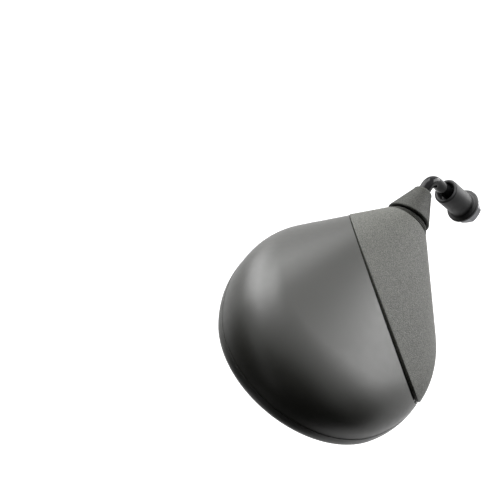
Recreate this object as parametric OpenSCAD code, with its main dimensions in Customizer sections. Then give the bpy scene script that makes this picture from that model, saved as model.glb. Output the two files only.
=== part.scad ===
// Right-hand motorcycle mirror with a teardrop head on a short bent stem.
// The thread axis of the fastening is vertical and the seat of the coupling nut is at the origin.
// The rider is on the -Y side and looks at the glass; the head reaches outwards, to +X.
// The head is drawn in its own frame: rim plane XY, back towards +Z, neck towards +X,
// with the centre of the far end arc at its origin.

/* [Outline of the head] */
// Radius of the far end arc
end_r = 61.5; // [56:0.5:66]
// Half of the angle that the far end arc spans
flank_angle = 64; // [60:1:68]
// Distance from the centre of the far end arc to the straight edge at the neck
neck_edge = 119; // [112:1:124]
// Half width of the head at that distance, to which the two flanks curve
neck_half = 21.5; // [19:0.5:24]
// Slant of the straight edge at the neck
neck_slant = 14; // [8:1:18]

/* [Back of the head] */
// Height of the back over the rim plane
dome_h = 39; // [34:1:42]
// Place of the crown along the head
crown_x = 1; // [-8:1:12]
// Place of the crown across the head
crown_y = 33; // [20:1:38]
// Roundness of the back, 2 is an ellipse
dome_power = 2.3; // [2:0.1:2.8]
// Height at which the side wall starts to round over
side_h = 8; // [7:0.5:11]
// Wall of the smooth shell
main_wall = 2.6; // [2.2:0.1:3.2]
// Wall of the grained shell
base_wall = 2.2; // [1.8:0.1:2.8]
// Height of the grained shell over the smooth one at the seam
proud = 0.7; // [0.5:0.1:1]
// Step of the hidden lip of the smooth shell below its surface
lip_step = 1.5; // [1.3:0.1:1.8]
// Width of the hidden lip
lip_w = 6; // [4:0.5:7]

/* [Seam between the shells] */
// Direction of the seam plane round the head
seam_turn = -51; // [-55:1:-45]
// Slant of the seam plane towards the back
seam_rise = 46; // [42:1:50]
// Distance of the seam plane from the ball centre
seam_back = 26.3; // [24:0.1:28]
// Angle by which the seam opens towards its lower end
seam_open = 1; // [0.5:0.1:1.3]

/* [Rim and glass] */
// Place of the widest line of the rim, over the rim plane
rim_belt = 2; // [1:0.1:3]
// Height of the rim in front of the rim plane
rim_front = 2.5; // [2:0.1:3.5]
// Height of the rim's back, on which the shells stand
rim_back = 5.2; // [4.8:0.1:6]
// Width of the rim
rim_w = 5; // [4.5:0.1:6]
// Width of the ledge inside the rim
ledge_w = 4.5; // [3.5:0.1:5]
// Thickness of that ledge
ledge_t = 1.4; // [1.2:0.1:2]
// Gap between rim and glass frame
frame_gap = 0.3; // [0.2:0.05:0.5]
// Width of the glass frame up to the edge of the glass
frame_w = 2.2; // [2:0.1:2.6]
// Overlap of the lip of the glass frame over the glass
frame_lip = 2; // [1.6:0.1:2.6]
// Thickness of that lip
lip_t = 0.9; // [0.7:0.1:1.2]
// Radius of the slightly domed glass
glass_r = 1200; // [1000:50:1800]
// Thickness of the glass
glass_t = 2.5; // [2:0.1:3]
// Place of the top of the glass along the head
glass_x = 28; // [24:1:32]
// Height of the top of the glass over the rim plane
glass_z = -0.9; // [-1.2:0.1:-0.5]
// Thickness of the foam pad behind the glass
pad_t = 0.8; // [0.6:0.1:1.2]
// Thickness of the carrier plate
carrier_t = 2.2; // [2:0.1:2.6]
// Height of the ribs on the carrier plate
rib_h = 3; // [2:0.5:5]

/* [Neck] */
// Turn of the neck axis in the head
neck_turn = -4; // [-8:1:0]
// Rise of the neck axis out of the rim plane
neck_rise = 31; // [28:1:34]
// Outer radius of the mouth of the grained shell
mouth_r = 16.4; // [16.3:0.1:16.8]
// Height of that mouth over the ball centre
mouth_h = 5.4; // [5.2:0.1:5.8]
// Outer radius of the ribbed gaiter
gaiter_r = 16.4; // [16.2:0.1:16.5]
// Thickness of the gaiter
gaiter_t = 1.6; // [1.4:0.1:1.8]
// Clearance between the gaiter and the pieces that slide over it
gaiter_gap = 0.3; // [0.2:0.05:0.4]
// Depth of the grooves of the gaiter
groove_r = 0.7; // [0.5:0.1:0.9]
// Height of the cone's open end over the ball centre
cone_h = 10; // [9.7:0.1:10.4]
// Outer radius of the cone at its open end
cone_r = 14.7; // [14.5:0.1:15.2]
// Height of the cone's tip over the ball centre
tip_h = 33.3; // [32:0.1:34]
// Outer radius of the cone where its tip starts to round over
tip_r = 6.5; // [6.4:0.1:7]

/* [Ball joint] */
// Radius of the ball
ball_r = 6.5; // [6.2:0.1:6.6]
// Thickness of the liner round the ball
liner_t = 1.5; // [1.4:0.1:1.6]
// Clearance on each side of the liner
ball_gap = 0.1; // [0.05:0.01:0.12]
// Radius of the opening in the liner
liner_mouth = 5.2; // [5:0.1:5.4]
// Radius of the opening in the socket
socket_mouth = 6.2; // [6:0.1:6.4]
// Wall of the socket round the liner
socket_wall = 2.1; // [2:0.1:2.2]
// Height of the socket over the ball centre
socket_h = 7.6; // [7.2:0.1:7.8]
// Depth of the shell's inner ledge below the ball centre
shelf_h = 4.5; // [4.2:0.1:4.8]
// Thickness of that ledge
shelf_t = 5.5; // [5:0.1:6]
// Thickness of the socket's flange
flange_t = 2.5; // [2:0.1:2.8]
// Radius of the socket's flange
flange_r = 14; // [13.8:0.1:14.1]
// Radius of the clamping cup
cup_r = 9.5; // [9.4:0.1:9.6]
// Thickness of one disc spring
spring_t = 0.8; // [0.6:0.1:1]
// Free height of one disc spring
spring_h = 1.6; // [1.4:0.1:1.8]
// Thickness of the spring plate
plate_t = 2; // [1.6:0.1:2.4]
// Radius of the spring plate
plate_r = 15.5; // [15:0.1:15.8]

/* [Screws] */
// Diameter of the screws that join shells and carrier plate
shell_screw_d = 3; // [2.5:0.5:3]
// Length of those screws
shell_screw_l = 12; // [10:1:14]
// Radius of the posts that take them
post_r = 3.4; // [3.2:0.1:4]
// Diameter of the small screws at the ball joint
joint_screw_d = 2; // [2:0.1:2.2]
// Number of screws in each of the two circles at the ball joint
joint_screws = 3; // [3:1:4]

/* [Stem and fastening] */
// Diameter of the stem
stem_d = 8; // [7.6:0.1:8]
// Radius of the stem's bend, to the middle of the rod
bend_r = 9; // [8.5:0.5:11]
// Height of the corner of the stem over the seat
bend_h = 50.5; // [50.5:0.1:55]
// Distance from the corner of the stem to the ball centre
arm_l = 43.9; // [43.9:0.1:48]
// Rise of the upper part of the stem over the horizontal
arm_rise = 13.6; // [12:0.1:16]
// Turn of the upper part of the stem round the thread axis
arm_turn = -43.7; // [-46:0.1:-41]
// Diameter of the pin through ball and stem
pin_d = 2; // [1.5:0.5:2.5]
// Diameter of the stem's threaded end, at the bottom of the thread
spigot_d = 6.76; // [6.7:0.01:6.78]
// Radius of the wall of the threads that hold the stem in the two nuts
thread_r = 3.4; // [3.4:0.01:3.5]
// Radius of the wall of the free female thread, where the mirror is fastened
mount_r = 4.25; // [4.1:0.05:4.4]
// Free depth of the female thread in the coupling nut
thread_depth = 10; // [8:0.5:11]
// Width across the flats of the coupling nut
coupling_af = 16; // [15:0.5:17]
// Height of the hexagon of the coupling nut
coupling_hex_h = 10; // [8.5:0.1:10.2]
// Width across the flats of the lock nut
nut_af = 12; // [11:0.5:12]
// Length of the coupling nut
nut_l = 18.1; // [17:0.1:18.6]
// Thickness of the lock washer
washer_t = 1.4; // [1:0.1:1.4]
// Height of the lock nut
lock_nut_h = 5.8; // [4.5:0.1:5.8]
// Diameter of the boot's body
boot_d = 17; // [16.8:0.1:18]
// Diameter of the boot's flange
boot_flange_d = 23; // [22.4:0.1:24]
// Length of the boot
boot_l = 24.3; // [24:0.1:25]
// Height of the boot's flange over the seat
boot_at = 8; // [7.5:0.1:8.2]
// Width of the recess in the boot's mouth
boot_mouth_d = 13.4; // [12.8:0.1:14]

/* [Hidden] */

eps = 0.01;
big = 400;
$fn = 72;

// Colours
satin = [0.1, 0.1, 0.11];
grain = [0.17, 0.17, 0.18];
steel = [0.6, 0.61, 0.63];

// Turn and slant that set the head on the ball, as the mirror is adjusted at rest
head_rot = [60.6, 36.9, 161.4];
// Centre of the ball in the head, set back from the straight edge and just over the crown's height
neck_in = 11.6;
ball_side = 1.3;
ball_over = 0.6;
ball_at = [neck_edge - neck_in, ball_side, dome_h + ball_over];

// Directions

function turn_x(v, a) = [v[0], v[1] * cos(a) - v[2] * sin(a), v[1] * sin(a) + v[2] * cos(a)];
function turn_y(v, a) = [v[0] * cos(a) + v[2] * sin(a), v[1], v[2] * cos(a) - v[0] * sin(a)];
function turn_z(v, a) = [v[0] * cos(a) - v[1] * sin(a), v[0] * sin(a) + v[1] * cos(a), v[2]];
function heading(turn, rise) = [cos(rise) * cos(turn), cos(rise) * sin(turn), sin(rise)];
arm_dir = heading(arm_turn, arm_rise);
neck_dir = turn_z(turn_y(turn_x(heading(neck_turn, neck_rise), head_rot[0]), head_rot[1]), head_rot[2]);
ball_pos = [0, 0, bend_h] + arm_l * arm_dir;
// Axis between the stem's (share 0) and the neck's (share 1)
function between(share) = (share - 1) * arm_dir + share * neck_dir;

module at_ball(axis) {
    translate(ball_pos) rotate([0, acos(axis[2] / norm(axis)), atan2(axis[1], axis[0])]) children();
}
module in_head() {
    translate(ball_pos) rotate(head_rot) translate(-ball_at) children();
}
module at_neck() {
    translate(ball_at) rotate([0, 90 - neck_rise, neck_turn]) children();
}

// Outline of the head, at an inset from its edge

n_end = 20;
n_flank = 10;
n_edge = 8;
// Radius of the flanks: tangent to the far end arc, and through the corner at the neck
flank_u = [cos(flank_angle), -sin(flank_angle)];
corner = [neck_edge, neck_half];
flank_r = (corner * corner + end_r * end_r + 2 * end_r * corner * flank_u) / (2 * (corner * flank_u + end_r));
flank_off = flank_r - end_r;
upper_c = flank_off * [cos(flank_angle), -sin(flank_angle)];
lower_c = flank_off * [cos(flank_angle), sin(flank_angle)];
edge_dir = [cos(neck_slant), sin(neck_slant)];
function on_arc(c, r, a) = c + r * [cos(a), sin(a)];
function to_edge(c, inset) = acos((neck_edge - inset - c * edge_dir) / (flank_r - inset));
function steps(a, b, n) = [for (i = [0 : n - 1]) a + (b - a) * i / n];
function outline(inset) = let (
    r = flank_r - inset,
    first = neck_slant + to_edge(upper_c, inset),
    last = 360 + neck_slant - to_edge(lower_c, inset),
    from = on_arc(lower_c, r, last),
    to = on_arc(upper_c, r, first))
    concat([for (a = steps(first, 180 - flank_angle, n_flank)) on_arc(upper_c, r, a)],
           [for (a = steps(180 - flank_angle, 180 + flank_angle, n_end)) on_arc([0, 0], end_r - inset, a)],
           [for (a = steps(180 + flank_angle, last, n_flank)) on_arc(lower_c, r, a)],
           [for (s = steps(0, 1, n_edge)) from + s * (to - from)]);
n_outline = n_end + 2 * n_flank + n_edge;

// Height of the glass surface at a point of the head
function glass_at(p) = glass_z + (pow(p[0] - glass_x, 2) + pow(p[1], 2)) / (2 * glass_r);
carrier_back = glass_t + pad_t + carrier_t;
glass_inset = rim_w + frame_gap + frame_w;
fit = 0.05;

// Quads between rings of points, each ring facing the last
function bands(n_rings, closed) = [for (j = [0 : n_rings - (closed ? 1 : 2)], i = [0 : n_outline - 1])
    let (k = (i + 1) % n_outline, up = (j + 1) % n_rings)
    [up * n_outline + i, up * n_outline + k, j * n_outline + k, j * n_outline + i]];

// Back of the head as a solid over the outline, grown or shrunk by an offset
n_rings = 10;
shell_inset = 0.5;
module dome(offset) {
    crown = [crown_x, crown_y];
    base = outline(shell_inset - offset);
    rise = dome_h + offset - side_h;
    function ring(q) = [for (p = base)
        let (xy = crown + pow(cos(q), 2 / dome_power) * (p - crown))
        [xy[0], xy[1], side_h + rise * pow(sin(q), 2 / dome_power)]];
    points = concat([for (p = base) [p[0], p[1], rim_back]],
                    [for (q = steps(0, 90, n_rings)) each ring(q)],
                    [[crown_x, crown_y, side_h + rise]]);
    top = len(points) - 1;
    polyhedron(points, concat(
        bands(n_rings + 1, false),
        [[for (i = [0 : n_outline - 1]) i]],
        [for (i = [0 : n_outline - 1]) [top, top - n_outline + (i + 1) % n_outline, top - n_outline + i]]),
        convexity = 4);
}

// Back of the head drawn out to a disc at the neck
module back(offset, disc_r, disc_h) {
    hull() {
        dome(offset);
        at_neck() translate([0, 0, disc_h - 0.1]) cylinder(h = 0.1, r = disc_r, $fn = 32);
    }
}

seam_at = heading(seam_turn, seam_rise) * ball_at - seam_back;
// Space beyond the seam, moved along the seam's normal and opened round its upper end
seam_hinge = 95;
module beyond_seam(move, open) {
    rotate([0, 0, seam_turn]) rotate([0, -seam_rise, 0]) translate([seam_at + move, seam_hinge, 0])
        rotate([0, 0, open]) translate([0, -big / 2, -big / 2]) cube(big);
}

// Ring along the outline; its section lists inset, height and 1 where the height follows the glass
module outline_ring(section) {
    last = len(section) - 1;
    polyhedron([for (i = [last : -1 : 0], p = outline(section[i][0]))
                   [p[0], p[1], section[i][1] + section[i][2] * glass_at(p)]],
               bands(last + 1, true), convexity = 6);
}

// Layer behind the glass surface, bounded by two spheres
module glass_layer(depth, thickness, inset) {
    intersection() {
        translate([0, 0, -big / 4]) linear_extrude(big / 2) polygon(outline(inset));
        translate([glass_x, 0, glass_z + glass_r]) difference() {
            sphere(r = glass_r - depth, $fn = 360);
            sphere(r = glass_r - depth - thickness, $fn = 360);
        }
    }
}

// Shells

// Posts of the smooth shell stand inside the outline's arcs, those of the grained shell beside the ball
main_posts = [on_arc([0, 0], end_r - 24, 144), on_arc([0, 0], end_r - 21, 250),
              on_arc(upper_c, flank_r - 24, 81)];
base_posts = [for (p = [[-28.9, -38.3], [-7.4, -23.3]]) [ball_at[0] + p[0], ball_at[1] + p[1]]];
posts = concat(main_posts, base_posts);
module posts_at(places) {
    for (p = places) translate([p[0], p[1], glass_at(p) + carrier_back + fit]) children();
}
pilot_r = shell_screw_d / 2;
hole_gap = 0.1;
screw_head_h = 1.5;
screw_head_r = 2.9;
screw_sink = 0.3;
screw_end_gap = 0.5;
screw_in = shell_screw_l - carrier_t + screw_sink + screw_end_gap;

module main_shell() {
    color(satin) in_head() {
        difference() {
            union() {
                difference() {
                    back(0, mouth_r, mouth_h);
                    beyond_seam(0, 0);
                }
                difference() {
                    back(-lip_step, mouth_r - lip_step, mouth_h - lip_step);
                    beyond_seam(lip_w, 0);
                    cube([big, big, 2 * (rim_back + 1)], center = true);
                }
            }
            difference() {
                translate([0, 0, -eps]) back(-main_wall, mouth_r - main_wall, mouth_h - main_wall);
                posts_at(main_posts) cylinder(h = dome_h, r = post_r, $fn = 32);
            }
            posts_at(main_posts) translate([0, 0, -eps]) cylinder(h = screw_in, r = pilot_r);
        }
    }
}

cavity_r = gaiter_r + gaiter_gap;
shelf_gap = 1.3;
shelf_bore = cup_r + shelf_gap;
shelf_end = shelf_h + shelf_t;
seam_gap = 0.2;
lip_gap = 0.2;
module base_shell() {
    color(grain) in_head() difference() {
        intersection() {
            back(proud, mouth_r, mouth_h);
            beyond_seam(seam_gap, seam_open);
        }
        difference() {
            translate([0, 0, -eps]) back(proud - base_wall, mouth_r, -shelf_end);
            posts_at(base_posts) cylinder(h = dome_h, r = post_r, $fn = 32);
        }
        posts_at(base_posts) translate([0, 0, -eps]) cylinder(h = screw_in, r = pilot_r);
        difference() {
            back(lip_gap - lip_step, mouth_r + lip_gap - lip_step, mouth_h + lip_gap - lip_step);
            beyond_seam(lip_w + lip_gap, 0);
        }
        at_neck() {
            intersection() {
                sphere(r = cavity_r);
                translate([0, 0, -shelf_h]) cylinder(h = 2 * cavity_r, r = 2 * cavity_r);
            }
            translate([0, 0, -shelf_end - 1]) cylinder(h = shelf_end, r = shelf_bore);
            joint_circle(socket_screw_at, 0) translate([0, 0, -shelf_h - socket_screw_in])
                cylinder(h = socket_screw_in + 1, r = joint_screw_d / 2);
            joint_circle(clamp_screw_at, 1) translate([0, 0, -shelf_end - eps])
                cylinder(h = clamp_screw_in, r = joint_screw_d / 2);
        }
    }
}

// Rim and glass

lip_inset = glass_inset + frame_lip;
// Width of the rim's outer roll, and the height of its inner edge and of the frame beside it
roll_w = 3.2;
inner_h = 1.6;
edge_round = 0.5;
module rim() {
    roll = [for (a = [0 : 30 : 90])
        [roll_w * (1 - cos(a)), rim_belt - (rim_belt + rim_front) * sin(a), 0]];
    color(satin) in_head() outline_ring(concat(roll, [
        [rim_w - edge_round, -inner_h - edge_round, 0], [rim_w, -inner_h, 0],
        [rim_w, carrier_back + fit, 1], [rim_w + ledge_w, carrier_back + fit, 1],
        [rim_w + ledge_w, carrier_back + ledge_t, 1], [tongue_inset, carrier_back + ledge_t, 1],
        [tongue_inset, rim_back, 0], [shell_inset, rim_back, 0], [0, rim_back - shell_inset, 0]]));
}
tongue_gap = 0.3;
tongue_inset = shell_inset + main_wall + tongue_gap;

module glass_frame() {
    out = rim_w + frame_gap;
    color(satin) in_head() outline_ring([
        [out, edge_round - inner_h, 0], [out + 2 * edge_round, -inner_h, 0], [lip_inset, -lip_t, 1],
        [lip_inset, -fit, 1],
        [glass_inset, -fit, 1], [glass_inset, carrier_back, 1], [out, carrier_back, 1]]);
}

module mirror_glass() {
    color([0.75, 0.8, 0.85]) in_head() glass_layer(0, glass_t, glass_inset + fit);
}

module glass_pad() {
    color([0.25, 0.25, 0.25]) in_head() glass_layer(glass_t, pad_t, glass_inset + fit);
}

module carrier_plate() {
    color(grain) in_head() difference() {
        union() {
            glass_layer(glass_t + pad_t, carrier_t, glass_inset + fit);
            glass_rib() translate([-big / 2, -rib_t / 2, 0]) cube([big, rib_t, big]);
            for (x = cross_ribs)
                glass_rib() translate([x - rib_t / 2, -big / 2, 0]) cube([rib_t, big, big]);
        }
        posts_at(posts) translate([0, 0, -carrier_t - fit]) {
            translate([0, 0, -1]) cylinder(h = carrier_t + 2, r = pilot_r + hole_gap);
            translate([0, 0, -1]) cylinder(h = screw_sink + 1, r = screw_head_r + hole_gap);
            translate([0, 0, screw_sink - eps])
                cylinder(h = screw_head_h, r1 = screw_head_r + hole_gap, r2 = pilot_r + hole_gap);
        }
    }
}
rib_t = 1.6;
cross_ribs = [10, 60];
module glass_rib() {
    intersection() {
        glass_layer(glass_t + pad_t + carrier_t - eps, rib_h, glass_inset + ledge_w);
        children();
    }
}

// Screws: the countersunk ones lie under the pad, sunk a little into the carrier plate
module shell_screws() {
    color(steel) in_head() posts_at(posts) translate([0, 0, screw_sink - carrier_t - fit]) {
        cylinder(h = shell_screw_l, r = shell_screw_d / 2);
        cylinder(h = screw_head_h, r1 = screw_head_r, r2 = shell_screw_d / 2);
    }
}

// Ball joint, along the neck axis from the ball centre

liner_r = ball_r + ball_gap + liner_t;
seat_r = liner_r + ball_gap;
socket_r = seat_r + socket_wall;
socket_screw_at = 12.3;
socket_screw_in = 4;
clamp_screw_at = 13.4;
clamp_screw_in = 4.5;
joint_turn = 30;
head_r = 1.7;
head_h = 1.3;
// Places on one of two circles of screws, the second turned by half a step
module joint_circle(r, half) {
    for (i = [0 : joint_screws - 1]) rotate([0, 0, (i + half / 2) * 360 / joint_screws + joint_turn])
        translate([r, 0, 0]) children();
}

module ball_socket() {
    color(grain) in_head() at_neck() difference() {
        union() {
            intersection() {
                sphere(r = socket_r);
                cylinder(h = socket_h, r = socket_r);
            }
            translate([0, 0, -shelf_h]) cylinder(h = shelf_h, r = socket_r);
            translate([0, 0, -shelf_h]) cylinder(h = flange_t, r = flange_r);
        }
        sphere(r = seat_r);
        translate([0, 0, -shelf_h - 1]) cylinder(h = shelf_h + 1, r = cup_r + ball_gap);
        cylinder(h = socket_h + 1, r = socket_mouth);
        joint_circle(socket_screw_at, 0) translate([0, 0, -shelf_h - 1])
            cylinder(h = flange_t + 2, r = joint_screw_d / 2);
    }
}

module socket_screws() {
    color(steel) in_head() at_neck() joint_circle(socket_screw_at, 0) {
        translate([0, 0, flange_t - shelf_h]) cylinder(h = head_h, r = head_r);
        translate([0, 0, screw_end_gap - shelf_h - socket_screw_in])
            cylinder(h = socket_screw_in + flange_t, r = joint_screw_d / 2);
    }
}

module ball_liner() {
    color([0.85, 0.85, 0.8]) at_ball(-arm_dir) difference() {
        sphere(r = liner_r);
        sphere(r = ball_r + ball_gap);
        cylinder(h = liner_r + 1, r = liner_mouth);
        translate([0, 0, -liner_r - 1]) cylinder(h = liner_r, r = liner_mouth / 2);
    }
}

// The cup stays a little below the ball centre, so that the springs can press it on the liner
cup_t = 1.1;
cup_play = 0.4;
cup_floor = seat_r + cup_t;
module socket_cap() {
    color(grain) in_head() at_neck() difference() {
        union() {
            translate([0, 0, -cup_floor]) cylinder(h = cup_floor - cup_play, r = cup_r);
            translate([0, 0, -cup_floor - spring_h]) cylinder(h = spring_h + 1, r = spring_in - slide_gap);
        }
        sphere(r = seat_r);
    }
}

slide_gap = 0.2;
spring_in = 4;
spring_out = 8.8;
module clamp_spring() {
    color(steel) in_head() at_neck() translate([0, 0, -cup_floor - spring_h]) {
        disc_spring();
        mirror([0, 0, 1]) disc_spring();
    }
}
module disc_spring() {
    rotate_extrude() polygon([[spring_in, spring_h - spring_t], [spring_out, 0],
                              [spring_out, spring_t], [spring_in, spring_h]]);
}

dish_z = cup_floor + 2 * spring_h;
module spring_plate() {
    color(steel) in_head() at_neck() difference() {
        union() {
            translate([0, 0, -shelf_end - plate_t]) cylinder(h = plate_t, r = plate_r);
            translate([0, 0, -dish_z - plate_t])
                cylinder(h = dish_z + plate_t - shelf_end, r = cup_r + plate_t);
        }
        translate([0, 0, -dish_z]) cylinder(h = dish_z, r = cup_r + slide_gap);
        joint_circle(clamp_screw_at, 1) translate([0, 0, -shelf_end - plate_t - 1])
            cylinder(h = plate_t + 2, r = joint_screw_d / 2);
    }
}

module clamp_screws() {
    color(steel) in_head() at_neck() joint_circle(clamp_screw_at, 1) {
        translate([0, 0, -shelf_end - plate_t - head_h]) cylinder(h = head_h, r = head_r);
        translate([0, 0, -shelf_end - plate_t])
            cylinder(h = clamp_screw_in + plate_t - screw_end_gap, r = joint_screw_d / 2);
    }
}

// Gaiter: a zone of a sphere with three grooves that fan out between the cone and the shell

gaiter_top = 12.7;
gaiter_bottom = 0.9;
cone_edge = atan2(cone_r, cone_h);
mouth_edge = atan2(mouth_r, mouth_h);
module gaiter() {
    color(grain) difference() {
        at_ball(between(0.5)) difference() {
            sphere(r = gaiter_r);
            sphere(r = gaiter_r - gaiter_t);
            translate([0, 0, gaiter_top]) cylinder(h = gaiter_r, r = gaiter_r);
            translate([0, 0, gaiter_bottom - 2 * gaiter_r]) cylinder(h = 2 * gaiter_r, r = gaiter_r + 1);
        }
        for (share = [0.25, 0.5, 0.75]) at_ball(between(share)) {
            a = cone_edge + share * (mouth_edge - cone_edge);
            rotate_extrude() translate(gaiter_r * [sin(a), cos(a)]) circle(r = groove_r, $fn = 24);
        }
    }
}

// Stem side

cone_lip = 0.6;
cone_round = 2.4;
pocket_h = 14;
pocket_wall = 5;
module neck_cone() {
    tip = [for (a = [0 : 15 : 90]) [tip_r + cone_round * (cos(a) - 1), tip_h + cone_round * (sin(a) - 1)]];
    color(grain) at_ball(-arm_dir) difference() {
        rotate_extrude() polygon(concat(
            [[0, cone_h], [cone_r - cone_lip / 2, cone_h], [cone_r, cone_h + cone_lip]], tip, [[0, tip_h]]));
        sphere(r = cavity_r);
        translate([0, 0, cone_h]) cylinder(h = pocket_h, r1 = cone_r - pocket_wall, r2 = stem_d / 2 + 1);
        cylinder(h = tip_h + 1, r = stem_d / 2);
    }
}

stem_in_ball = 3;
module ball() {
    color(steel) at_ball(-arm_dir) difference() {
        sphere(r = ball_r);
        translate([0, 0, -stem_in_ball]) cylinder(h = 2 * ball_r, r = stem_d / 2);
        ball_pin(2 * ball_r);
    }
}
module ball_pin(l) {
    rotate([90, 0, 0]) translate([0, 0, -l / 2]) cylinder(h = l, r = pin_d / 2);
}
module retaining_pin() {
    color(steel) at_ball(-arm_dir) ball_pin(2 * ball_r - 1);
}

spigot_top = nut_l + washer_t + lock_nut_h;
tangent = bend_r * tan((90 - arm_rise) / 2);
weld = 0.05;
module stem() {
    color([0.04, 0.04, 0.045]) {
        translate([0, 0, thread_depth]) cylinder(h = spigot_top - thread_depth + 1, r = spigot_d / 2);
        translate([0, 0, spigot_top]) cylinder(h = bend_h - tangent - spigot_top + weld, r = stem_d / 2);
        translate([0, 0, bend_h - tangent]) rotate([0, 0, arm_turn]) translate([bend_r, 0, 0])
            rotate([90, 0, 0]) rotate([0, 0, 90 + arm_rise])
            rotate_extrude(angle = 90 - arm_rise) translate([bend_r, 0]) circle(r = stem_d / 2 - weld / 2);
        at_ball(-arm_dir) difference() {
            translate([0, 0, -stem_in_ball])
                cylinder(h = arm_l - tangent + stem_in_ball + weld, r = stem_d / 2);
            ball_pin(2 * ball_r);
        }
    }
}

nut_cavity = 7.1;
nut_gap = 0.2;
hex_cavity = coupling_af / 2 / cos(30) + nut_gap;
boot_round = 1;
flange_round = 0.6;
boot_web = 1.5;
boot_flange_t = 2.6;
web_at = nut_l + washer_t + lock_nut_h + ball_gap;
module boot() {
    top = boot_at + boot_l;
    flange_out = boot_flange_d / 2;
    flange_back = boot_at + boot_flange_t;
    color([0.05, 0.05, 0.05]) rotate_extrude() polygon([
        [hex_cavity, boot_at], [flange_out - flange_round, boot_at], [flange_out, boot_at + flange_round],
        [flange_out, flange_back - flange_round], [flange_out - flange_round, flange_back],
        [boot_d / 2, flange_back], [boot_d / 2, top - boot_round], [boot_d / 2 - boot_round, top],
        [boot_mouth_d / 2, top], [boot_mouth_d / 2, web_at + boot_web],
        [stem_d / 2 + ball_gap, web_at + boot_web], [stem_d / 2 + ball_gap, web_at], [nut_cavity, web_at],
        [nut_cavity, coupling_hex_h + ball_gap], [hex_cavity, coupling_hex_h + ball_gap]]);
}

// Hexagon with both ends chamfered
module hex(af, l) {
    intersection() {
        cylinder(h = l, r = af / 2 / cos(30), $fn = 6);
        cylinder(h = l, r1 = af / 2, r2 = af / 2 + l);
        cylinder(h = l, r1 = af / 2 + l, r2 = af / 2);
    }
}
module coupling_nut() {
    color(steel) difference() {
        union() {
            hex(coupling_af, coupling_hex_h);
            cylinder(h = nut_l, r = nut_cavity - nut_gap);
        }
        translate([0, 0, -1]) cylinder(h = nut_l + 2, r = thread_r);
        translate([0, 0, -1]) cylinder(h = thread_depth + 1, r = mount_r);
    }
}
module lock_washer() {
    color(steel) translate([0, 0, nut_l]) difference() {
        cylinder(h = washer_t, r = nut_af / 2 + nut_gap);
        translate([0, 0, -1]) cylinder(h = washer_t + 2, r = thread_r);
    }
}
module lock_nut() {
    color(steel) translate([0, 0, nut_l + washer_t]) difference() {
        hex(nut_af, lock_nut_h);
        translate([0, 0, -1]) cylinder(h = lock_nut_h + 2, r = thread_r);
    }
}

main_shell();
base_shell();
rim();
glass_frame();
mirror_glass();
glass_pad();
carrier_plate();
shell_screws();
ball_socket();
socket_screws();
ball_liner();
socket_cap();
clamp_spring();
spring_plate();
clamp_screws();
gaiter();
neck_cone();
ball();
retaining_pin();
stem();
boot();
lock_nut();
lock_washer();
coupling_nut();
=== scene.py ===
import math
import bmesh
import bpy
import numpy as np
from mathutils import Matrix, Vector
from mathutils.bvhtree import BVHTree


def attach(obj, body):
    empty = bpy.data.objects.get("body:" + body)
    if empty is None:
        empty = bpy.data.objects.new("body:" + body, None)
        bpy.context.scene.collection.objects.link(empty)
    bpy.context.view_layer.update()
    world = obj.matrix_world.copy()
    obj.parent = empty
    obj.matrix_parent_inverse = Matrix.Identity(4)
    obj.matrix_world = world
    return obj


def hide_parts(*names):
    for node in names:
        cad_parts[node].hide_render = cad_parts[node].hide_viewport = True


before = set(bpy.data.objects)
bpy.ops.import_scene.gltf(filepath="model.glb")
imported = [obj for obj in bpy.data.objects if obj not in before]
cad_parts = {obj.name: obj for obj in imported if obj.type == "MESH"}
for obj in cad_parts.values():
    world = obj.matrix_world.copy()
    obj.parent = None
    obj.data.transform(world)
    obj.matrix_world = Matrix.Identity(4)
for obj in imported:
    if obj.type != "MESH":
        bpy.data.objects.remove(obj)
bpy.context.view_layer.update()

# Right-hand motorcycle mirror: finer visible pieces, finishes and a studio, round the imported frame.
# Sizes are in millimetres and degrees, as in the part's source. Meshes are written in metres.
# The head is drawn in its own frame: rim plane XY, back towards +Z, neck towards +X,
# with the centre of the far end arc at its origin.

MM = 0.001
UP = np.array([0, 0, 1.0])
rad = math.radians

# Outline of the head
END_R = 61.5  # radius of the far end arc
FLANK_ANGLE = 64.0  # half of the angle that this arc spans
NECK_EDGE = 119.0  # distance from its centre to the straight edge at the neck
NECK_HALF = 21.5  # half width of the head at that distance
NECK_SLANT = 14.0  # slant of the straight edge
ARC_SHARE = 0.28  # share of the outline's points on each of its three arcs

# Back of the head
DOME_H = 39.0  # height of the back over the rim plane
CROWN = np.array([1.0, 33.0])  # place of the crown
DOME_POWER = 2.3  # roundness of the back, 2 is an ellipse
SIDE_H = 8.0  # height at which the side wall starts to round over
SHELL_INSET = 0.15  # inset of the shells from the outline
FOOT_DEPTH = 4  # depth to which the back goes on below the rim's back
PROUD = 0.7  # height of the grained shell over the smooth one
LIP_STEP = 2.1  # depth of the hidden lip below the smooth shell
LIP_NECK = 1.5  # the same depth at the mouth
LIP_W = 5.8  # width of the hidden lip
EDGE_R = 0.45  # radius of the shells' edges
EDGE_RIM_R = 0.15  # their radius where they stand on the rim
EDGE_DEPTH = 2.0  # depth to which the outer edges are turned down
MOUTH_DEPTH = 0.5  # depth to which the mouth's edge is turned down

# Seam between the shells
SEAM_TURN = -51.0  # direction of the seam plane round the head
SEAM_RISE = 46.0  # its slant towards the back
SEAM_BACK = 26.3  # its distance from the ball centre
SEAM_GAP = 0.2  # gap at its upper end
SEAM_OPEN = 1.0  # angle by which it opens towards its lower end
SEAM_HINGE = 95.0  # place along the seam from which it opens
LOWER_CORNER = 9.0  # radius of the grained shell's corner at the lower end of the seam
UPPER_CORNER = 1.2  # radius of its corner at the upper end

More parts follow.
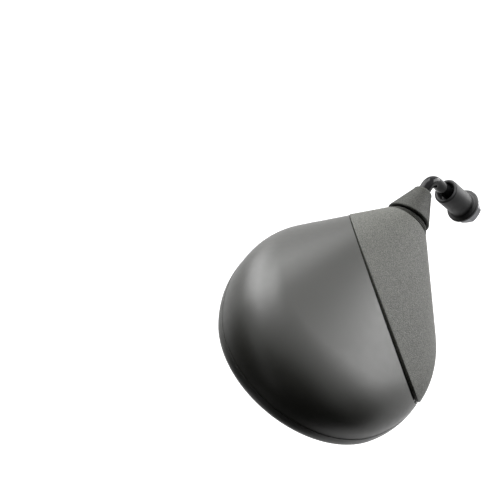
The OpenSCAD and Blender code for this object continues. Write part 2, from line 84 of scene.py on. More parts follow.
# Rim and glass
RIM_BACK = 5.2  # height of the rim's back, on which the shells stand
RIM_W = 5.0  # width of the rim
LEDGE_OUT = 3.4  # inset of the outer edge of the ledge behind the glass
LEDGE_IN = 9.5  # inset of its inner edge
LEDGE_FRONT = 5.55  # depth of its front below the face of the glass
LEDGE_BACK = 6.9  # depth of its back
FRAME_IN = 5.3  # inset of the outer edge of the glass frame
FRAME_BACK = 5.5  # depth of the back of the frame below the face of the glass
GLASS_IN = 7.5  # inset of the edge of the glass
LIP_IN = 9.5  # inset of the inner edge of the frame's lip
LIP_T = 0.9  # thickness of that lip
GLASS_R = 1200.0  # radius of the slightly domed glass
GLASS_T = 2.5  # its thickness
GLASS_X = 28.0  # place of its top along the head
GLASS_Z = -0.9  # height of its top over the rim plane
PLAY = 0.05  # play between glass and frame

# Neck
NECK_TURN = -4.0  # turn of the neck axis in the head
NECK_RISE = 31.0  # its rise out of the rim plane
BALL_AT = np.array([107.4, 1.3, 39.6])  # ball centre in the head's frame
MOUTH_R = 16.4  # radius of the grained shell's mouth
MOUTH_H = 5.4  # its height over the ball centre
GAITER_IN = 14.8  # inner radius of the gaiter
GROOVE_R = 15.1  # radius at the bottom of its grooves
RIB_H = 1.4  # height of its ribs over that
RIBS = 4  # number of its ribs
CONE_R = 14.7  # radius of the cone at its open end
CONE_H = 10.0  # height of that end over the ball centre
CONE_CUT = 0.8  # length by which the cone starts above that end, clear of the gaiter
CONE_IN = 0.9  # length by which its lower edge is drawn in
CONE_HOLE = 13.0  # radius of its open end inside
CONE_STOP = 17  # height over the ball centre at which its inside ends on the stem
TIP_R = 6.5  # radius of the cone where its tip rounds over
TIP_H = 33.3  # height of the tip
TIP_ROUND = 2.4  # radius of that rounding

# Stem
STEM_R = 4.0  # radius of the stem
SPIGOT_R = 3.38  # radius of its threaded end
SPIGOT_TOP = 25.2  # height at which the threaded end stops
BEND_R = 9.0  # radius of the bend
BEND_H = 50.5  # height of the corner of the stem over the seat
ARM_L = 43.9  # distance from that corner to the ball centre
ARM_RISE = 13.6  # rise of the upper part over the horizontal
ARM_TURN = -43.7  # its turn round the thread axis
HEAD_ROT = (60.6, 36.9, 161.4)  # turns that set the head on the ball

# Fastening end
COUPLING_AF = 16.0  # width across the flats of the coupling nut
HEX_H = 10.0  # height of its hexagon
CHAMFER_H = 1.4  # height of the hexagon's chamfer
CHAMFER_SLOPE = 1.6  # growth of its radius with the height
BARREL_R = 6.9  # radius of the nut above the hexagon
NUT_L = 18.1  # length of the nut
MOUNT_R = 4.25  # radius of the free female thread
MOUNT_DEPTH = 10  # its depth
PITCH = 1.5  # its pitch
GROOVE = 0.28  # depth of its grooves
LEAD_IN = 0.9  # width of its countersink
CORNER_CUT = 0.12  # by which the hexagon's corners are rounded off
CHAMFER_IN = 0.3  # by which the chamfer starts inside the flats
THREAD_R = 3.4  # radius of the bore that takes the stem
BOOT_AT = 8.0  # height of the boot's flange over the seat
BOOT_L = 24.3  # length of the boot
BOOT_R = 8.5  # radius of its body
BOOT_BORE = 7.1  # radius of its cavity
BOOT_MOUTH_R = 6.7  # radius of the recess in its mouth
FLANGE_R = 11.5  # radius of its flange
FLANGE_T = 2.6  # thickness of that flange
WEB_TOP = 26.9  # top of the web that holds the stem
WEB_T = 1.5  # thickness of that web


# Directions and places


def planar(angle):
    """Unit vector at an angle in the XY plane."""
    return np.array([math.cos(rad(angle)), math.sin(rad(angle))])


def heading(turn, rise):
    """Unit vector at a turn round Z and a rise over the XY plane."""
    return np.array([*math.cos(rad(rise)) * planar(turn), math.sin(rad(rise))])


def turned(axis, angle):
    """Rotation matrix about X, Y or Z."""
    return np.array(Matrix.Rotation(rad(angle), 3, axis))


def unit(v):
    """A vector, or each row of an array, at length 1."""
    v = np.asarray(v, float)
    return v / np.linalg.norm(v, axis=-1, keepdims=True)


def frame_of(axis):
    """Two directions across an axis, and the axis itself, at length 1."""
    z = unit(axis)
    x = unit(np.cross(UP if abs(z[2]) < 0.9 else [1, 0, 0], z))
    return x, np.cross(z, x), z


def circle(x, y, n):
    """Directions all round, from x towards y."""
    t = np.radians(np.arange(n) * 360 / n)
    return np.cos(t)[:, None] * x + np.sin(t)[:, None] * y


def angle_from(directions, axis):
    """Angles between directions and an axis."""
    return np.degrees(np.arccos(np.clip(directions @ axis, -1, 1)))


HEAD = turned("Z", HEAD_ROT[2]) @ turned("Y", HEAD_ROT[1]) @ turned("X", HEAD_ROT[0])
ARM = heading(ARM_TURN, ARM_RISE)
BALL = BEND_H * UP + ARM_L * ARM
NECK_AXIS = heading(NECK_TURN, NECK_RISE)
STEM_AXIS = unit(HEAD.T @ -ARM)
SEAM_N = heading(SEAM_TURN, SEAM_RISE)
SEAM_AT = SEAM_N @ BALL_AT - SEAM_BACK


def flank_radius():
    """Radius of the arcs that run from the far end arc to the half width at the neck."""
    corner = np.array([NECK_EDGE, NECK_HALF])
    reach = corner @ planar(-FLANK_ANGLE)
    return (corner @ corner + END_R ** 2 + 2 * END_R * reach) / (2 * (reach + END_R))


FLANK_R = flank_radius()


def to_part(p):
    """Points of the head's own frame, in the part's frame."""
    return BALL + (np.asarray(p, float) - BALL_AT) @ HEAD.T


# Outline and back of the head


def arc(centre, radius, start, end, n):
    """Points along an arc, without its last one."""
    t = np.radians(start + (end - start) * np.arange(n) / n)
    return centre + radius * np.stack([np.cos(t), np.sin(t)], 1)


def outline(inset, n):
    """Outline of the head: upper flank, far end arc, lower flank and the straight edge at the neck."""
    upper = (FLANK_R - END_R) * planar(-FLANK_ANGLE)
    lower = (FLANK_R - END_R) * planar(FLANK_ANGLE)
    radius = FLANK_R - inset
    to_edge = NECK_EDGE - inset
    first = NECK_SLANT + math.degrees(math.acos((to_edge - upper @ planar(NECK_SLANT)) / radius))
    last = 360 + NECK_SLANT - math.degrees(math.acos((to_edge - lower @ planar(NECK_SLANT)) / radius))
    on_arc = int(n * ARC_SHARE)
    on_edge = n - 3 * on_arc
    edge_start = lower + radius * planar(last)
    edge_end = upper + radius * planar(first)
    return np.concatenate([
        arc(upper, radius, first, 180 - FLANK_ANGLE, on_arc),
        arc(np.zeros(2), END_R - inset, 180 - FLANK_ANGLE, 180 + FLANK_ANGLE, on_arc),
        arc(lower, radius, 180 + FLANK_ANGLE, last, on_arc),
        edge_start + (np.arange(on_edge) / on_edge)[:, None] * (edge_end - edge_start),
    ])


def head_ring(inset, n, rounds=4):
    """Outline with its two corners at the neck rounded a little, where it bends by over 0.02 mm."""
    p = outline(inset, n)
    for _ in range(rounds):
        between = (np.roll(p, 1, 0) + np.roll(p, -1, 0)) / 2
        bend = np.linalg.norm(between - p, axis=1, keepdims=True)
        p = np.where(bend > 0.02, p + 0.5 * (between - p), p)
    return p


def back_tree(offset, disc_r, disc_h, n=240, rings=56):
    """Search tree of the convex back, moved out by an offset and drawn out to the disc at the neck."""
    base = head_ring(SHELL_INSET - min(offset, 0), n, 6)
    side = head_ring(SHELL_INSET - offset, n, 6)
    rise = DOME_H + offset - SIDE_H
    angles = np.radians(np.arange(rings) * 90 / rings)
    spreads = np.cos(angles) ** (2 / DOME_POWER)
    heights = SIDE_H + rise * np.sin(angles) ** (2 / DOME_POWER)
    points = [np.column_stack([base, np.full(n, RIM_BACK - FOOT_DEPTH)])]
    for spread, height in zip(spreads, heights):
        points.append(np.column_stack([CROWN + spread * (side - CROWN), np.full(n, height)]))
    points.append(np.array([[*CROWN, SIDE_H + rise]]))
    x, y, z = frame_of(NECK_AXIS)
    points.append(BALL_AT + z * disc_h + disc_r * circle(x, y, 120))
    bm = bmesh.new()
    for point in np.concatenate(points):
        bm.verts.new(point)
    bmesh.ops.convex_hull(bm, input=bm.verts)
    inner = [v for v in bm.verts if not v.link_faces]
    bmesh.ops.delete(bm, geom=inner, context="VERTS")
    tree = BVHTree.FromBMesh(bm)
    bm.free()
    return tree


def beyond_seam(p, move, open_angle):
    """Distance beyond the seam plane, moved along its normal and opened round its upper end."""
    plane = turned("Z", SEAM_TURN) @ turned("Y", -SEAM_RISE)
    local = np.asarray(p) @ plane - [SEAM_AT + move, SEAM_HINGE, 0]
    return (local @ turned("Z", open_angle))[..., 0]


def glass_at(p):
    """Height of the face of the glass over the rim plane."""
    return GLASS_Z + ((p[..., 0] - GLASS_X) ** 2 + p[..., 1] ** 2) / (2 * GLASS_R)


def over_glass(ring, height, follow=1):
    """Ring at a height, which follows the dome of the glass by a share."""
    return to_part(np.column_stack([ring, height + follow * glass_at(ring)]))


# Grids and meshes


def polar_skin(tree, centre, axis, inside, start, n, rings):
    """Grid on the back round an axis, from a polar angle out to where inside() ends."""
    x, y, z = frame_of(axis)
    side = circle(x, y, n)

    def hit(polar):
        """Where one ray in each direction meets the back."""
        rays = np.cos(polar)[:, None] * z + np.sin(polar)[:, None] * side
        found = np.empty((n, 3))
        for i, ray in enumerate(rays):
            place = tree.ray_cast(Vector(centre), Vector(ray))[0]
            found[i] = centre if place is None else place
        return found

    halvings = 26
    inner = np.full(n, start)
    outer = np.full(n, rad(178))
    for _ in range(halvings):
        middle = (inner + outer) / 2
        still_inside = inside(hit(middle)) > 0
        inner = np.where(still_inside, middle, inner)
        outer = np.where(still_inside, outer, middle)
    grid = [hit(start + (inner - start) * share) for share in np.linspace(0, 1, rings)]
    return smoothed(np.array(grid), 6)


def smoothed(grid, rounds):
    """Grid of rings, relaxed between its first and its last ring."""
    for _ in range(rounds):
        around = (grid[:-2] + grid[2:] + np.roll(grid, 1, 1)[1:-1] + np.roll(grid, -1, 1)[1:-1]) / 4
        relaxed = grid.copy()
        relaxed[1:-1] += 0.5 * (around - grid[1:-1])
        grid = relaxed
    return grid


def rolled_edge(grid, last, radius, depth):
    """Rows that round the first or last row of a grid inwards and turn it down by a depth."""
    edge, inner = (grid[-1], grid[-2]) if last else (grid[0], grid[1])
    outwards = unit(edge - inner)
    along = unit(np.roll(edge, -1, 0) - np.roll(edge, 1, 0))
    down = unit(np.cross(along, outwards)) * (1 if last else -1)
    outwards = unit(outwards - along * np.sum(outwards * along, 1, keepdims=True))
    radius = np.broadcast_to(radius, len(edge))[:, None]
    rows = []
    for t in np.radians([0, 20, 40, 60, 75, 90]):
        rows.append(edge - outwards * radius * (1 - math.sin(t)) + down * radius * (1 - math.cos(t)))
    rows.append(edge + down * depth)
    return rows


def rounded(profile, segments, closed=False):
    """Profile with its corners rounded; each corner has two or three coordinates and a fillet."""
    points = []
    for i, (*place, fillet) in enumerate(profile):
        corner = np.array(place, float)
        if fillet <= 0 or (not closed and i in (0, len(profile) - 1)):
            points.append(corner)
            continue
        back = np.array(profile[i - 1][:-1], float) - corner
        ahead = np.array(profile[(i + 1) % len(profile)][:-1], float) - corner
        back_l = np.linalg.norm(back[:2])
        ahead_l = np.linalg.norm(ahead[:2])
        reach = min(fillet, 0.45 * back_l, 0.45 * ahead_l)
        start = corner + back / back_l * reach
        end = corner + ahead / ahead_l * reach
        for s in np.linspace(0, 1, segments + 1):
            points.append((1 - s) ** 2 * start + 2 * s * (1 - s) * corner + s * s * end)
    return points


def grid_object(name, rows, sharp, closed=False, fan_start=False, fan_end=False, flip=False):
    """Surface over rings of points, smooth but for edges sharper than an angle."""
    n = len(rows[0])
    last = (len(rows) - 1) * n
    verts = list(np.concatenate(rows))
    faces = []
    for j in range(len(rows) if closed else len(rows) - 1):
        here = j * n
        there = (j + 1) % len(rows) * n
        for i in range(n):
            k = (i + 1) % n
            faces.append((here + i, here + k, there + k, there + i))
    if fan_start:
        faces += [(len(verts), (i + 1) % n, i) for i in range(n)]
        verts.append(rows[0].mean(0))
    if fan_end:
        faces += [(len(verts), last + i, last + (i + 1) % n) for i in range(n)]
        verts.append(rows[-1].mean(0))
    if flip:
        faces = [face[::-1] for face in faces]
    me = bpy.data.meshes.new(name)
    me.from_pydata([tuple(v * MM) for v in verts], [], faces)
    me.validate()
    me.polygons.foreach_set("use_smooth", [True] * len(me.polygons))
    me.set_sharp_from_angle(angle=rad(sharp))
    ob = bpy.data.objects.new(name, me)
    bpy.context.scene.collection.objects.link(ob)
    return ob


def lathe(name, profile, origin, axis, closed=False):
    """Round piece: a profile of radius, height and fillet, turned round an axis."""
    x, y, z = frame_of(axis)
    side = circle(x, y, 128)
    rows = [origin + r * side + h * z for r, h in rounded(profile, 5)]
    return grid_object(name, rows, 50, closed=closed)


def dressed(ob, body, material, slot, *nodes):
    """Gives a piece its finish, hides the nodes that it stands for and hangs it on the body it rides on."""
    ob.data.materials.append(material)
    if nodes:
        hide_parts(*nodes)
    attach(ob, body)


# Finishes


def new_material(name, color, rough, metal=0.0, spec=0.5):
    """Material with its node tree and its shader."""
    material = bpy.data.materials.new(name)
    material.use_nodes = True
    nt = material.node_tree
    shader = nt.nodes["Principled BSDF"]
    shader.inputs["Base Color"].default_value = (*color, 1)
    shader.inputs["Roughness"].default_value = rough
    shader.inputs["Metallic"].default_value = metal
    shader.inputs["Specular IOR Level"].default_value = spec
    return material, nt, shader


def noise(nt, scale, detail, rough=0.5):
    """Noise by the place on the object, with a scale per metre."""
    place = nt.nodes.new("ShaderNodeTexCoord")
    texture = nt.nodes.new("ShaderNodeTexNoise")
    texture.inputs["Scale"].default_value = scale
    texture.inputs["Detail"].default_value = detail
    texture.inputs["Roughness"].default_value = rough
    nt.links.new(place.outputs["Object"], texture.inputs["Vector"])
    return texture.outputs["Fac"]


def mapped(nt, value, source, target):
    """Value taken from one range to another."""
    node = nt.nodes.new("ShaderNodeMapRange")
    for name, number in zip(("From Min", "From Max", "To Min", "To Max"), (*source, *target)):
        node.inputs[name].default_value = number
    nt.links.new(value, node.inputs["Value"])
    return node.outputs["Result"]


def tinted(nt, shader, share, dark, light):
    """Base colour between a dark and a light one."""
    mix = nt.nodes.new("ShaderNodeMix")
    mix.data_type = "RGBA"
    mix.inputs["A"].default_value = (*dark, 1)
    mix.inputs["B"].default_value = (*light, 1)
    nt.links.new(share, mix.inputs["Factor"])
    nt.links.new(mix.outputs["Result"], shader.inputs["Base Color"])


def uneven_gloss(nt, shader, scale, detail, low, high):
    """Roughness that varies between two values."""
    varied = mapped(nt, noise(nt, scale, detail), (0.3, 0.7), (low, high))
    nt.links.new(varied, shader.inputs["Roughness"])


def bumped(nt, shader, height, strength, distance):
    """Bump from a height, with its distance in metres."""
    bump = nt.nodes.new("ShaderNodeBump")
    bump.inputs["Strength"].default_value = strength
    bump.inputs["Distance"].default_value = distance
    nt.links.new(height, bump.inputs["Height"])
    nt.links.new(bump.outputs["Normal"], shader.inputs["Normal"])


def tone(base, red, green, blue):
    """Grey with a share of its own for each colour."""
    return base * red, base * green, base * blue


def satin(name, base, rough=0.42, spec=0.5):
    """Smooth moulded plastic, a little uneven in colour and gloss."""
    material, nt, shader = new_material(name, tone(base, 1, 1, 1), rough, spec=spec)
    tinted(nt, shader, noise(nt, 60, 3), tone(base, 0.9, 0.91, 0.78), tone(base, 1.1, 1.12, 0.96))
    uneven_gloss(nt, shader, 220, 3, rough - 0.02, rough + 0.03)
    bumped(nt, shader, noise(nt, 1500, 2), 0.03, 0.0001)
    return material


def grained(name, base, spec):
    """Plastic with a fine grain; its colour follows the grain, lighter on the bumps and darker in the
    hollows: painted light and shade.
    """
    material, nt, shader = new_material(name, tone(base, 1, 1, 1), 0.6, spec=spec)
    grain = noise(nt, 1450, 2, 0.7)
    # Painted light and shade: the colour is darker in the grain's hollows and lighter on its bumps.
    painted_grain_shade = mapped(nt, grain, (0.38, 0.62), (0, 1))
    tinted(nt, shader, painted_grain_shade, tone(base, 0.42, 0.43, 0.37), tone(base, 1.62, 1.65, 1.4))
    uneven_gloss(nt, shader, 500, 2, 0.55, 0.66)
    bumped(nt, shader, grain, 0.9, 0.00032)
    return material


def rubber(name, base, rough):
    """Soft rubber or matt plastic."""
    material, nt, shader = new_material(name, tone(base, 1, 1, 1), rough, spec=0.35)
    tinted(nt, shader, noise(nt, 140, 4), tone(base, 0.85, 0.85, 0.85), tone(base, 1.25, 1.25, 1.3))
    uneven_gloss(nt, shader, 300, 3, rough - 0.05, rough + 0.08)
    bumped(nt, shader, noise(nt, 900, 3), 0.08, 0.0002)
    return material


def lacquer(name):
    """Glossy black lacquer on the rod."""
    material, nt, shader = new_material(name, (0.012, 0.012, 0.012), 0.07, spec=0.14)
    tinted(nt, shader, noise(nt, 90, 2), (0.010, 0.010, 0.011), (0.015, 0.015, 0.016))
    bumped(nt, shader, noise(nt, 700, 2), 0.02, 0.0001)
    return material


def plated(name, color, rough):
    """Plated steel."""
    material, nt, shader = new_material(name, color, rough, metal=1.0)
    dark = [c * 0.9 for c in color]
    light = [c * 1.06 for c in color]
    tinted(nt, shader, noise(nt, 200, 3), dark, light)
    uneven_gloss(nt, shader, 900, 3, rough - 0.08, rough + 0.1)
    bumped(nt, shader, noise(nt, 1300, 2), 0.05, 0.0001)
    return material


def silvered(name):
    """Silvered glass."""
    material, nt, shader = new_material(name, (0.86, 0.88, 0.9), 0.02, metal=1.0)
    tinted(nt, shader, noise(nt, 30, 2), (0.85, 0.87, 0.89), (0.87, 0.89, 0.91))
    uneven_gloss(nt, shader, 150, 3, 0.015, 0.03)
    return material


SATIN = satin("satin_black", 0.028, spec=0.6)
GRAIN = grained("grained_black", 0.07, 0.6)
NECK_GRAIN = grained("grained_neck", 0.04, 0.35)
RIM = satin("rim_black", 0.028, spec=0.6)
GLOSS = satin("frame_black", 0.012, 0.18)
RUBBER = rubber("boot_rubber", 0.028, 0.48)
STEM = lacquer("stem_black")
NUT = plated("nut_black", (0.2, 0.2, 0.21), 0.45)
ZINC = plated("zinc_steel", (0.55, 0.56, 0.58), 0.35)
MIRROR = silvered("mirror_silver")
INNER = rubber("inner_plastic", 0.05, 0.55)
LINER = satin("liner_plastic", 0.6, 0.4)
# Darker than the smooth shell's own satin: painted shade on the hidden lip in the seam's gap.
LIP_SHADE = satin("lip_painted_shade", 0.012, 0.5)


# Shells: one skin each, laid out from a point inside the head


def in_main(move):
    """Test for the smooth shell: short of the seam, which may be moved, and over the rim."""
    return lambda p: np.minimum(-beyond_seam(p, move, 0), p[:, 2] - RIM_BACK)


def in_base(p):
    """Test for the grained shell: beyond the seam and over the rim, with its two corners rounded."""
    beyond = beyond_seam(p, SEAM_GAP, SEAM_OPEN)
    over = p[:, 2] - RIM_BACK
    along = p[:, 0] * math.sin(rad(-SEAM_TURN)) + p[:, 1] * math.cos(rad(SEAM_TURN))
    corner_r = np.where(along < 0, LOWER_CORNER, UPPER_CORNER)
    corner = corner_r - np.hypot(np.clip(corner_r - beyond, 0, None), np.clip(corner_r - over, 0, None))
    near_corner = (beyond < corner_r) & (over < corner_r)
    return np.where(near_corner, corner, np.minimum(beyond, over))


def skin(name, grid, mouth=False):
    """Shell over a grid, with its outer edge rolled inwards, more tightly where it nears the rim."""
    near, at = 2, 0.5
    at_rim = np.clip((RIM_BACK + near - grid[-1][:, 2]) / (near - at), 0, 1)
    radius = EDGE_R - (EDGE_R - EDGE_RIM_R) * at_rim
    rows = list(grid[:-1]) + rolled_edge(grid, True, radius, EDGE_DEPTH)
    if mouth:
        rows = rolled_edge(grid, False, EDGE_R, MOUTH_DEPTH)[::-1] + rows[1:]
    return grid_object(name, [to_part(row) for row in rows], 35, fan_start=not mouth)


def smooth_shell():
    """Smooth shell and its lip, both laid out from the line in which the seam meets the rim's back."""
    seam_line = unit(np.cross(SEAM_N, UP))
    flat = SEAM_N[:2]
    foot = flat / (flat @ flat) * (SEAM_AT - SEAM_N[2] * RIM_BACK)
    to_middle = 4
    foot = np.array([*foot, RIM_BACK]) - to_middle * seam_line
    inward = unit(UP - unit(SEAM_N))
    tip_angle = 0.002
    tree = back_tree(0, MOUTH_R, MOUTH_H)
    grid = polar_skin(tree, foot, inward, in_main(0), tip_angle, 420, 130)
    dressed(skin("shell_main", grid), "head", SATIN, "satin_black", "main_shell")
    tree = back_tree(-LIP_STEP, MOUTH_R - LIP_NECK, MOUTH_H - LIP_NECK, 160, 40)
    grid = polar_skin(tree, foot, inward, in_main(LIP_W), tip_angle, 300, 70)
    # The lip is part of the smooth shell but takes the darker finish: painted shade in the seam's gap.
    dressed(skin("shell_lip", grid), "head", LIP_SHADE, "satin_black")


def grained_shell():
    """Grained shell, laid out from its mouth, as seen from a point on the neck axis inside the head."""
    behind = 25
    tree = back_tree(PROUD, MOUTH_R, MOUTH_H)
    mouth_angle = math.atan2(MOUTH_R, behind + MOUTH_H)
    grid = polar_skin(tree, BALL_AT - behind * NECK_AXIS, NECK_AXIS, in_base, mouth_angle, 420, 130)
    dressed(skin("shell_base", grid, mouth=True), "head", GRAIN, "grained_black", "base_shell")


smooth_shell()
grained_shell()


# Rim, glass frame and glass


def along_outline(name, section):
    """Ring round the head, over a closed section of inset, height, share of the dome and fillet."""
    rows = [over_glass(head_ring(inset, 420), height, follow)
            for inset, height, follow in rounded(section, 4, closed=True)]
    return grid_object(name, rows[::-1], 50, closed=True)


def glass():
    """Domed glass with its edge and a strip of its back."""
    middle = np.array([GLASS_X, 0.0])
    edge = head_ring(GLASS_IN + PLAY, 360)
    rows = [over_glass(middle + share * (edge - middle), 0) for share in np.linspace(0.02, 1, 40)]
    strip = 4
    rows += [over_glass(edge, GLASS_T), over_glass(head_ring(GLASS_IN + strip, 360), GLASS_T)]
    return grid_object("glass", rows, 50, fan_start=True, flip=True)


rim = along_outline("rim_ring", [
    (0, 2, 0, 1.2), (0.5, -0.4, 0, 1.0), (1.7, -2, 0, 1.0), (3.2, -2.5, 0, 1.0), (4.5, -2.2, 0, 0.5),
    (RIM_W, -1.6, 0, 0.4), (RIM_W, LEDGE_FRONT, 1, 0), (LEDGE_IN, LEDGE_FRONT, 1, 0),
    (LEDGE_IN, LEDGE_BACK, 1, 0), (LEDGE_OUT, LEDGE_BACK, 1, 0), (LEDGE_OUT, RIM_BACK, 0, 0),
    (0, RIM_BACK - 0.1, 0, 0.1),
])
dressed(rim, "head", RIM, "satin_black", "rim")
glass_frame = along_outline("frame_ring", [
    (FRAME_IN, -1.2, 0, 0.3), (FRAME_IN + 1, -1.6, 0, 0.5), (LIP_IN, -LIP_T, 1, 0.3), (LIP_IN, -PLAY, 1, 0),
    (GLASS_IN, -PLAY, 1, 0), (GLASS_IN, FRAME_BACK, 1, 0), (FRAME_IN, FRAME_BACK, 1, 0),
])
dressed(glass_frame, "head", GLOSS, "satin_black", "glass_frame")
dressed(glass(), "head", MIRROR, "mirror", "mirror_glass")


# Neck: gaiter and cone


def gaiter():
    """Collar with ribs that fan out between the edge of the cone and the edge of the mouth."""
    x, y, z = frame_of(unit(STEM_AXIS + NECK_AXIS))
    side = circle(x, y, 240)
    cone_edge = math.degrees(math.atan2(CONE_R - CONE_IN, CONE_H + CONE_CUT))
    mouth_edge = math.degrees(math.atan2(MOUTH_R, MOUTH_H))
    start = 44
    end = 87
    rows = []
    for polar in np.radians(np.linspace(start, end, 220)):
        directions = math.cos(polar) * z + math.sin(polar) * side
        from_cone = angle_from(directions, STEM_AXIS) - cone_edge
        to_mouth = mouth_edge - angle_from(directions, NECK_AXIS)
        share = from_cone / (from_cone + to_mouth)
        wave = np.abs(np.sin(math.pi * RIBS * np.clip(share, 0, 1))) ** 0.5
        radius = GROOVE_R + RIB_H * np.where((share > 0) & (share < 1), wave, 0)
        rows.append(BALL_AT + radius[:, None] * directions)
    for polar in np.radians([end, start]):
        directions = math.cos(polar) * z + math.sin(polar) * side
        rows.append(BALL_AT + GAITER_IN * directions)
    return grid_object("gaiter_ribs", [to_part(row) for row in rows], 60, closed=True)


def cone():
    """Cone on the stem, with a soft lower edge and a rounded tip."""
    start = CONE_H + CONE_CUT
    lower = [(CONE_HOLE, start, 0), (CONE_R - CONE_IN, start, 0.2), (CONE_R - 0.4, start + 0.3, 0.3),
             (CONE_R - 0.15, start + 1.1, 0.5)]
    tip = [(TIP_R + TIP_ROUND * (math.cos(t) - 1), TIP_H + TIP_ROUND * (math.sin(t) - 1), 0)
           for t in np.radians(np.arange(0, 91, 9))]
    inside = [(STEM_R, TIP_H, 0.3), (STEM_R, TIP_H - 4, 0), (STEM_R, CONE_STOP, 0)]
    return lathe("cone", lower + tip + inside, BALL, -ARM)


dressed(gaiter(), "gaiter", NECK_GRAIN, "grained_black", "gaiter")
dressed(cone(), "stem", NECK_GRAIN, "grained_black", "neck_cone")


# Stem, boot and coupling nut


def stem():
    """Bent rod: its thinner threaded end, an upright, the bend and the arm up to the ball."""
    tangent = BEND_R * math.tan(rad((90 - ARM_RISE) / 2))
    bend_start = BEND_H - tangent
    level = unit([ARM[0], ARM[1], 0])
    centre = bend_start * UP + BEND_R * level
    path = [(z * UP, UP, SPIGOT_R) for z in (10, 14, 20, SPIGOT_TOP)]
    path += [(z * UP, UP, STEM_R) for z in np.linspace(SPIGOT_TOP + 0.2, bend_start, 8)]
    for t in np.radians(np.linspace(0, 90 - ARM_RISE, 28))[1:]:
        place = centre - BEND_R * math.cos(t) * level + BEND_R * math.sin(t) * UP
        path.append((place, math.sin(t) * level + math.cos(t) * UP, STEM_R))
    for distance in np.linspace(tangent, ARM_L + 3, 14)[1:]:
        path.append((BEND_H * UP + distance * ARM, ARM, STEM_R))
    across = unit(np.cross(UP, ARM))
    rows = [place + radius * circle(across, np.cross(along, across), 72) for place, along, radius in path]
    return grid_object("stem_rod", rows, 60, fan_start=True, fan_end=True)


def boot():
    """Rubber boot with its flange, a mouth rolled inwards and a web that holds the stem."""
    top = BOOT_AT + BOOT_L
    hex_r = COUPLING_AF / 2 / math.cos(rad(30)) + 0.2
    hole_r = STEM_R + 0.1
    return lathe("boot_sleeve", [
        (BOOT_BORE, HEX_H + 0.1, 0), (hex_r, HEX_H + 0.1, 0), (hex_r, BOOT_AT, 0.3),
        (FLANGE_R, BOOT_AT, 0.9), (FLANGE_R, BOOT_AT + FLANGE_T, 1.0), (BOOT_R, BOOT_AT + FLANGE_T, 1.2),
        (BOOT_R, top, 2.0), (BOOT_MOUTH_R - 0.6, top, 1.2), (BOOT_MOUTH_R - 0.9, WEB_TOP, 1.0),
        (hole_r, WEB_TOP, 0.2), (hole_r, WEB_TOP - WEB_T, 0), (BOOT_BORE, WEB_TOP - WEB_T, 0),
    ], np.zeros(3), UP, closed=True)


def coupling():
    """Hexagon with a chamfer that fades into its flats, on a round barrel with a threaded bore."""
    n = 180
    t = np.arange(n) * 2 * math.pi / n
    apothem = COUPLING_AF / 2
    flats = apothem / np.cos(np.mod(t, math.pi / 3) - math.pi / 6)
    flats = np.minimum(flats, apothem / math.cos(math.pi / 6) - CORNER_CUT)

    def ring(radius, height):
        """Points round the thread axis."""
        radius = np.broadcast_to(radius, n)
        return np.stack([radius * np.cos(t), radius * np.sin(t), np.full(n, height)], 1)

    def hexagon(height, depth):
        """Ring of the hexagon, cut by its chamfer at a depth below the end."""
        return ring(np.minimum(flats, apothem - CHAMFER_IN + CHAMFER_SLOPE * depth), height)

    rows = []
    for z in np.arange(MOUNT_DEPTH, 0.2, -0.25):
        rows.append(ring(MOUNT_R + GROOVE * (0.5 + 0.5 * math.cos(2 * math.pi * z / PITCH)), z))
    rows += [ring(MOUNT_R + LEAD_IN - 0.2, 0.05), ring(MOUNT_R + LEAD_IN, 0)]
    rows += [hexagon(z, z) for z in np.linspace(0, CHAMFER_H, 12)]
    rows += [hexagon(z, HEX_H - z) for z in np.linspace(HEX_H - CHAMFER_H, HEX_H, 12)]
    rows += [ring(BARREL_R, HEX_H), ring(BARREL_R, NUT_L)]
    rows += [ring(THREAD_R, NUT_L), ring(THREAD_R, MOUNT_DEPTH)]
    return grid_object("coupling", rows, 28, closed=True, flip=True)


dressed(stem(), "stem", STEM, "black_stem", "stem")
dressed(boot(), "boot", RUBBER, "rubber", "boot")
dressed(coupling(), "stem", NUT, "black_nut", "coupling_nut")


# The other nodes keep their shape and get a finish

KEPT_NODES = (
    (INNER, ("glass_pad", "carrier_plate", "ball_socket", "socket_cap")),
    (LINER, ("ball_liner",)),
    (ZINC, ("shell_screws", "socket_screws", "clamp_screws", "clamp_spring", "spring_plate")),
    (ZINC, ("ball", "retaining_pin", "lock_nut", "lock_washer")),
)
for finish, names in KEPT_NODES:
    for name in names:
        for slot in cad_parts[name].material_slots:
            slot.material = finish


# Studio, in metres

scene = bpy.context.scene
scene.view_settings.view_transform = "Standard"

CAM_AT = np.array([0.575417, 0.201146, 0.717727])
CAM_X = np.array([0.222956, 0.768952, -0.599169])
CAM_Y = np.array([-0.740563, 0.533300, 0.408848])
CAM_Z = np.array([0.633922, 0.352567, 0.688360])
AIM = to_part([50, 0, 15]) * MM
FLOOR_HALF = 6.0
FLOOR_LEVEL = -0.45


def placed(ob, at, x, y, z):
    """Puts an object at a place, with its axes along three directions."""
    ob.matrix_world = Matrix([[x[i], y[i], z[i], at[i]] for i in range(3)] + [[0, 0, 0, 1]])


def camera():
    """Camera at the photograph's viewing angle."""
    ob = bpy.data.objects.new("camera", bpy.data.cameras.new("camera"))
    scene.collection.objects.link(ob)
    ob.data.sensor_width = 36
    ob.data.lens = 100.0
    ob.data.clip_start = 0.01
    ob.data.clip_end = 50
    placed(ob, CAM_AT, CAM_X, CAM_Y, CAM_Z)
    scene.camera = ob


def aimed(ob, direction, distance, roll=0):
    """Puts an object in a direction given by the camera's axes, turned to the middle of the mirror."""
    d = Vector(direction[0] * CAM_X + direction[1] * CAM_Y + direction[2] * CAM_Z).normalized()
    x = Vector(CAM_X)
    x = (x - x.dot(d) * d).normalized()
    x = math.cos(rad(roll)) * x + math.sin(rad(roll)) * d.cross(x)
    placed(ob, AIM + distance * np.array(d), x, d.cross(x), d)


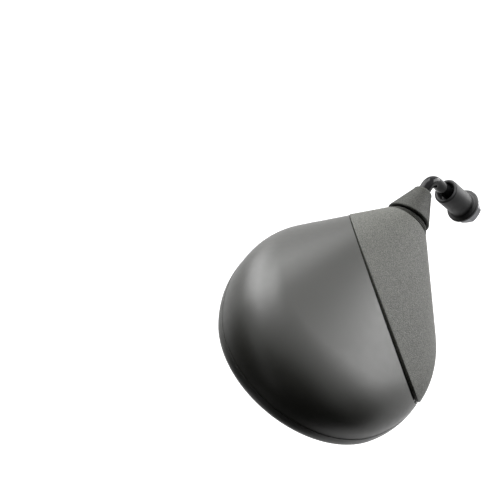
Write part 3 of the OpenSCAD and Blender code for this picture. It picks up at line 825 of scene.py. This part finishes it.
def softbox(name, direction, distance, size, radiance, roll):
    """Rectangular light."""
    light = bpy.data.lights.new(name, "AREA")
    light.shape = "RECTANGLE"
    light.size, light.size_y = size
    light.energy = radiance * math.pi * size[0] * size[1]
    ob = bpy.data.objects.new(name, light)
    scene.collection.objects.link(ob)
    aimed(ob, direction, distance, roll)


def square(name, half, level, material):
    """Flat square of the studio."""
    me = bpy.data.meshes.new(name)
    corners = [(-half, -half, level), (half, -half, level), (half, half, level), (-half, half, level)]
    me.from_pydata(corners, [], [(0, 1, 2, 3)])
    me.materials.append(material)
    ob = bpy.data.objects.new(name, me)
    scene.collection.objects.link(ob)
    return ob


def matt(name, base, spread, scale, detail):
    """Matt, nearly even surface."""
    material, nt, shader = new_material(name, tone(base, 1, 1, 1), 0.9)
    dark = base - spread
    light = base + spread
    tinted(nt, shader, noise(nt, scale, detail), tone(dark, 1, 1, 1), tone(light, 1, 1, 1))
    return material, nt, shader


def card(name, direction, distance, half):
    """Black card, out of sight, that keeps the white studio out of the reflections on one side."""
    ob = square(name, half, 0, CARD)
    aimed(ob, direction, distance)
    ob.visible_camera = False
    ob.visible_shadow = False


def seen_directly(nt):
    """1 where the surface is seen by the camera, in a reflection or through glass, otherwise 0."""
    path = nt.nodes.new("ShaderNodeLightPath")
    value = path.outputs["Is Camera Ray"]
    for kind in ("Is Glossy Ray", "Is Transmission Ray"):
        either = nt.nodes.new("ShaderNodeMath")
        either.operation = "MAXIMUM"
        nt.links.new(value, either.inputs[0])
        nt.links.new(path.outputs[kind], either.inputs[1])
        value = either.outputs[0]
    return value


def white_floor():
    """Pale floor that shows white and keeps the mirror's light as it is."""
    material, nt, shader = matt("floor_white", 0.8, 0.01, 8, 2)
    glow = mapped(nt, seen_directly(nt), (0, 1), (0, 0.75))
    nt.links.new(glow, shader.inputs["Emission Strength"])
    shader.inputs["Emission Color"].default_value = (1, 1, 1, 1)
    square("floor", FLOOR_HALF, FLOOR_LEVEL, material)


def white_world():
    """World that shows white and lights at half of that."""
    world = bpy.data.worlds.new("studio")
    world.use_nodes = True
    scene.world = world
    nt = world.node_tree
    background = nt.nodes["Background"]
    background.inputs["Color"].default_value = (1, 1, 1, 1)
    strength = mapped(nt, seen_directly(nt), (0, 1), (0.5, 1.0))
    nt.links.new(strength, background.inputs["Strength"])


camera()
softbox("box_top", (-0.12, 0.98, 0.06), 0.8, (0.7, 0.52), 6.2, 20)
softbox("box_left", (-0.42, 0.82, -0.31), 0.85, (0.36, 0.5), 5.0, -25)
softbox("box_right", (0.83, 0.46, -0.3), 0.85, (0.4, 0.66), 7.6, 27)
CARD = matt("black_card", 0.01, 0.002, 12, 3)[0]
card("card_camera", (0.1, -0.1, 1), 1.3, 1.1)
card("card_below", (-0.1, -1, 0.45), 1.1, 1.0)
card("card_left", (-1, -0.1, 0.2), 0.9, 0.6)
card("card_right", (1, -0.5, 0.1), 0.8, 0.6)
white_floor()
white_world()
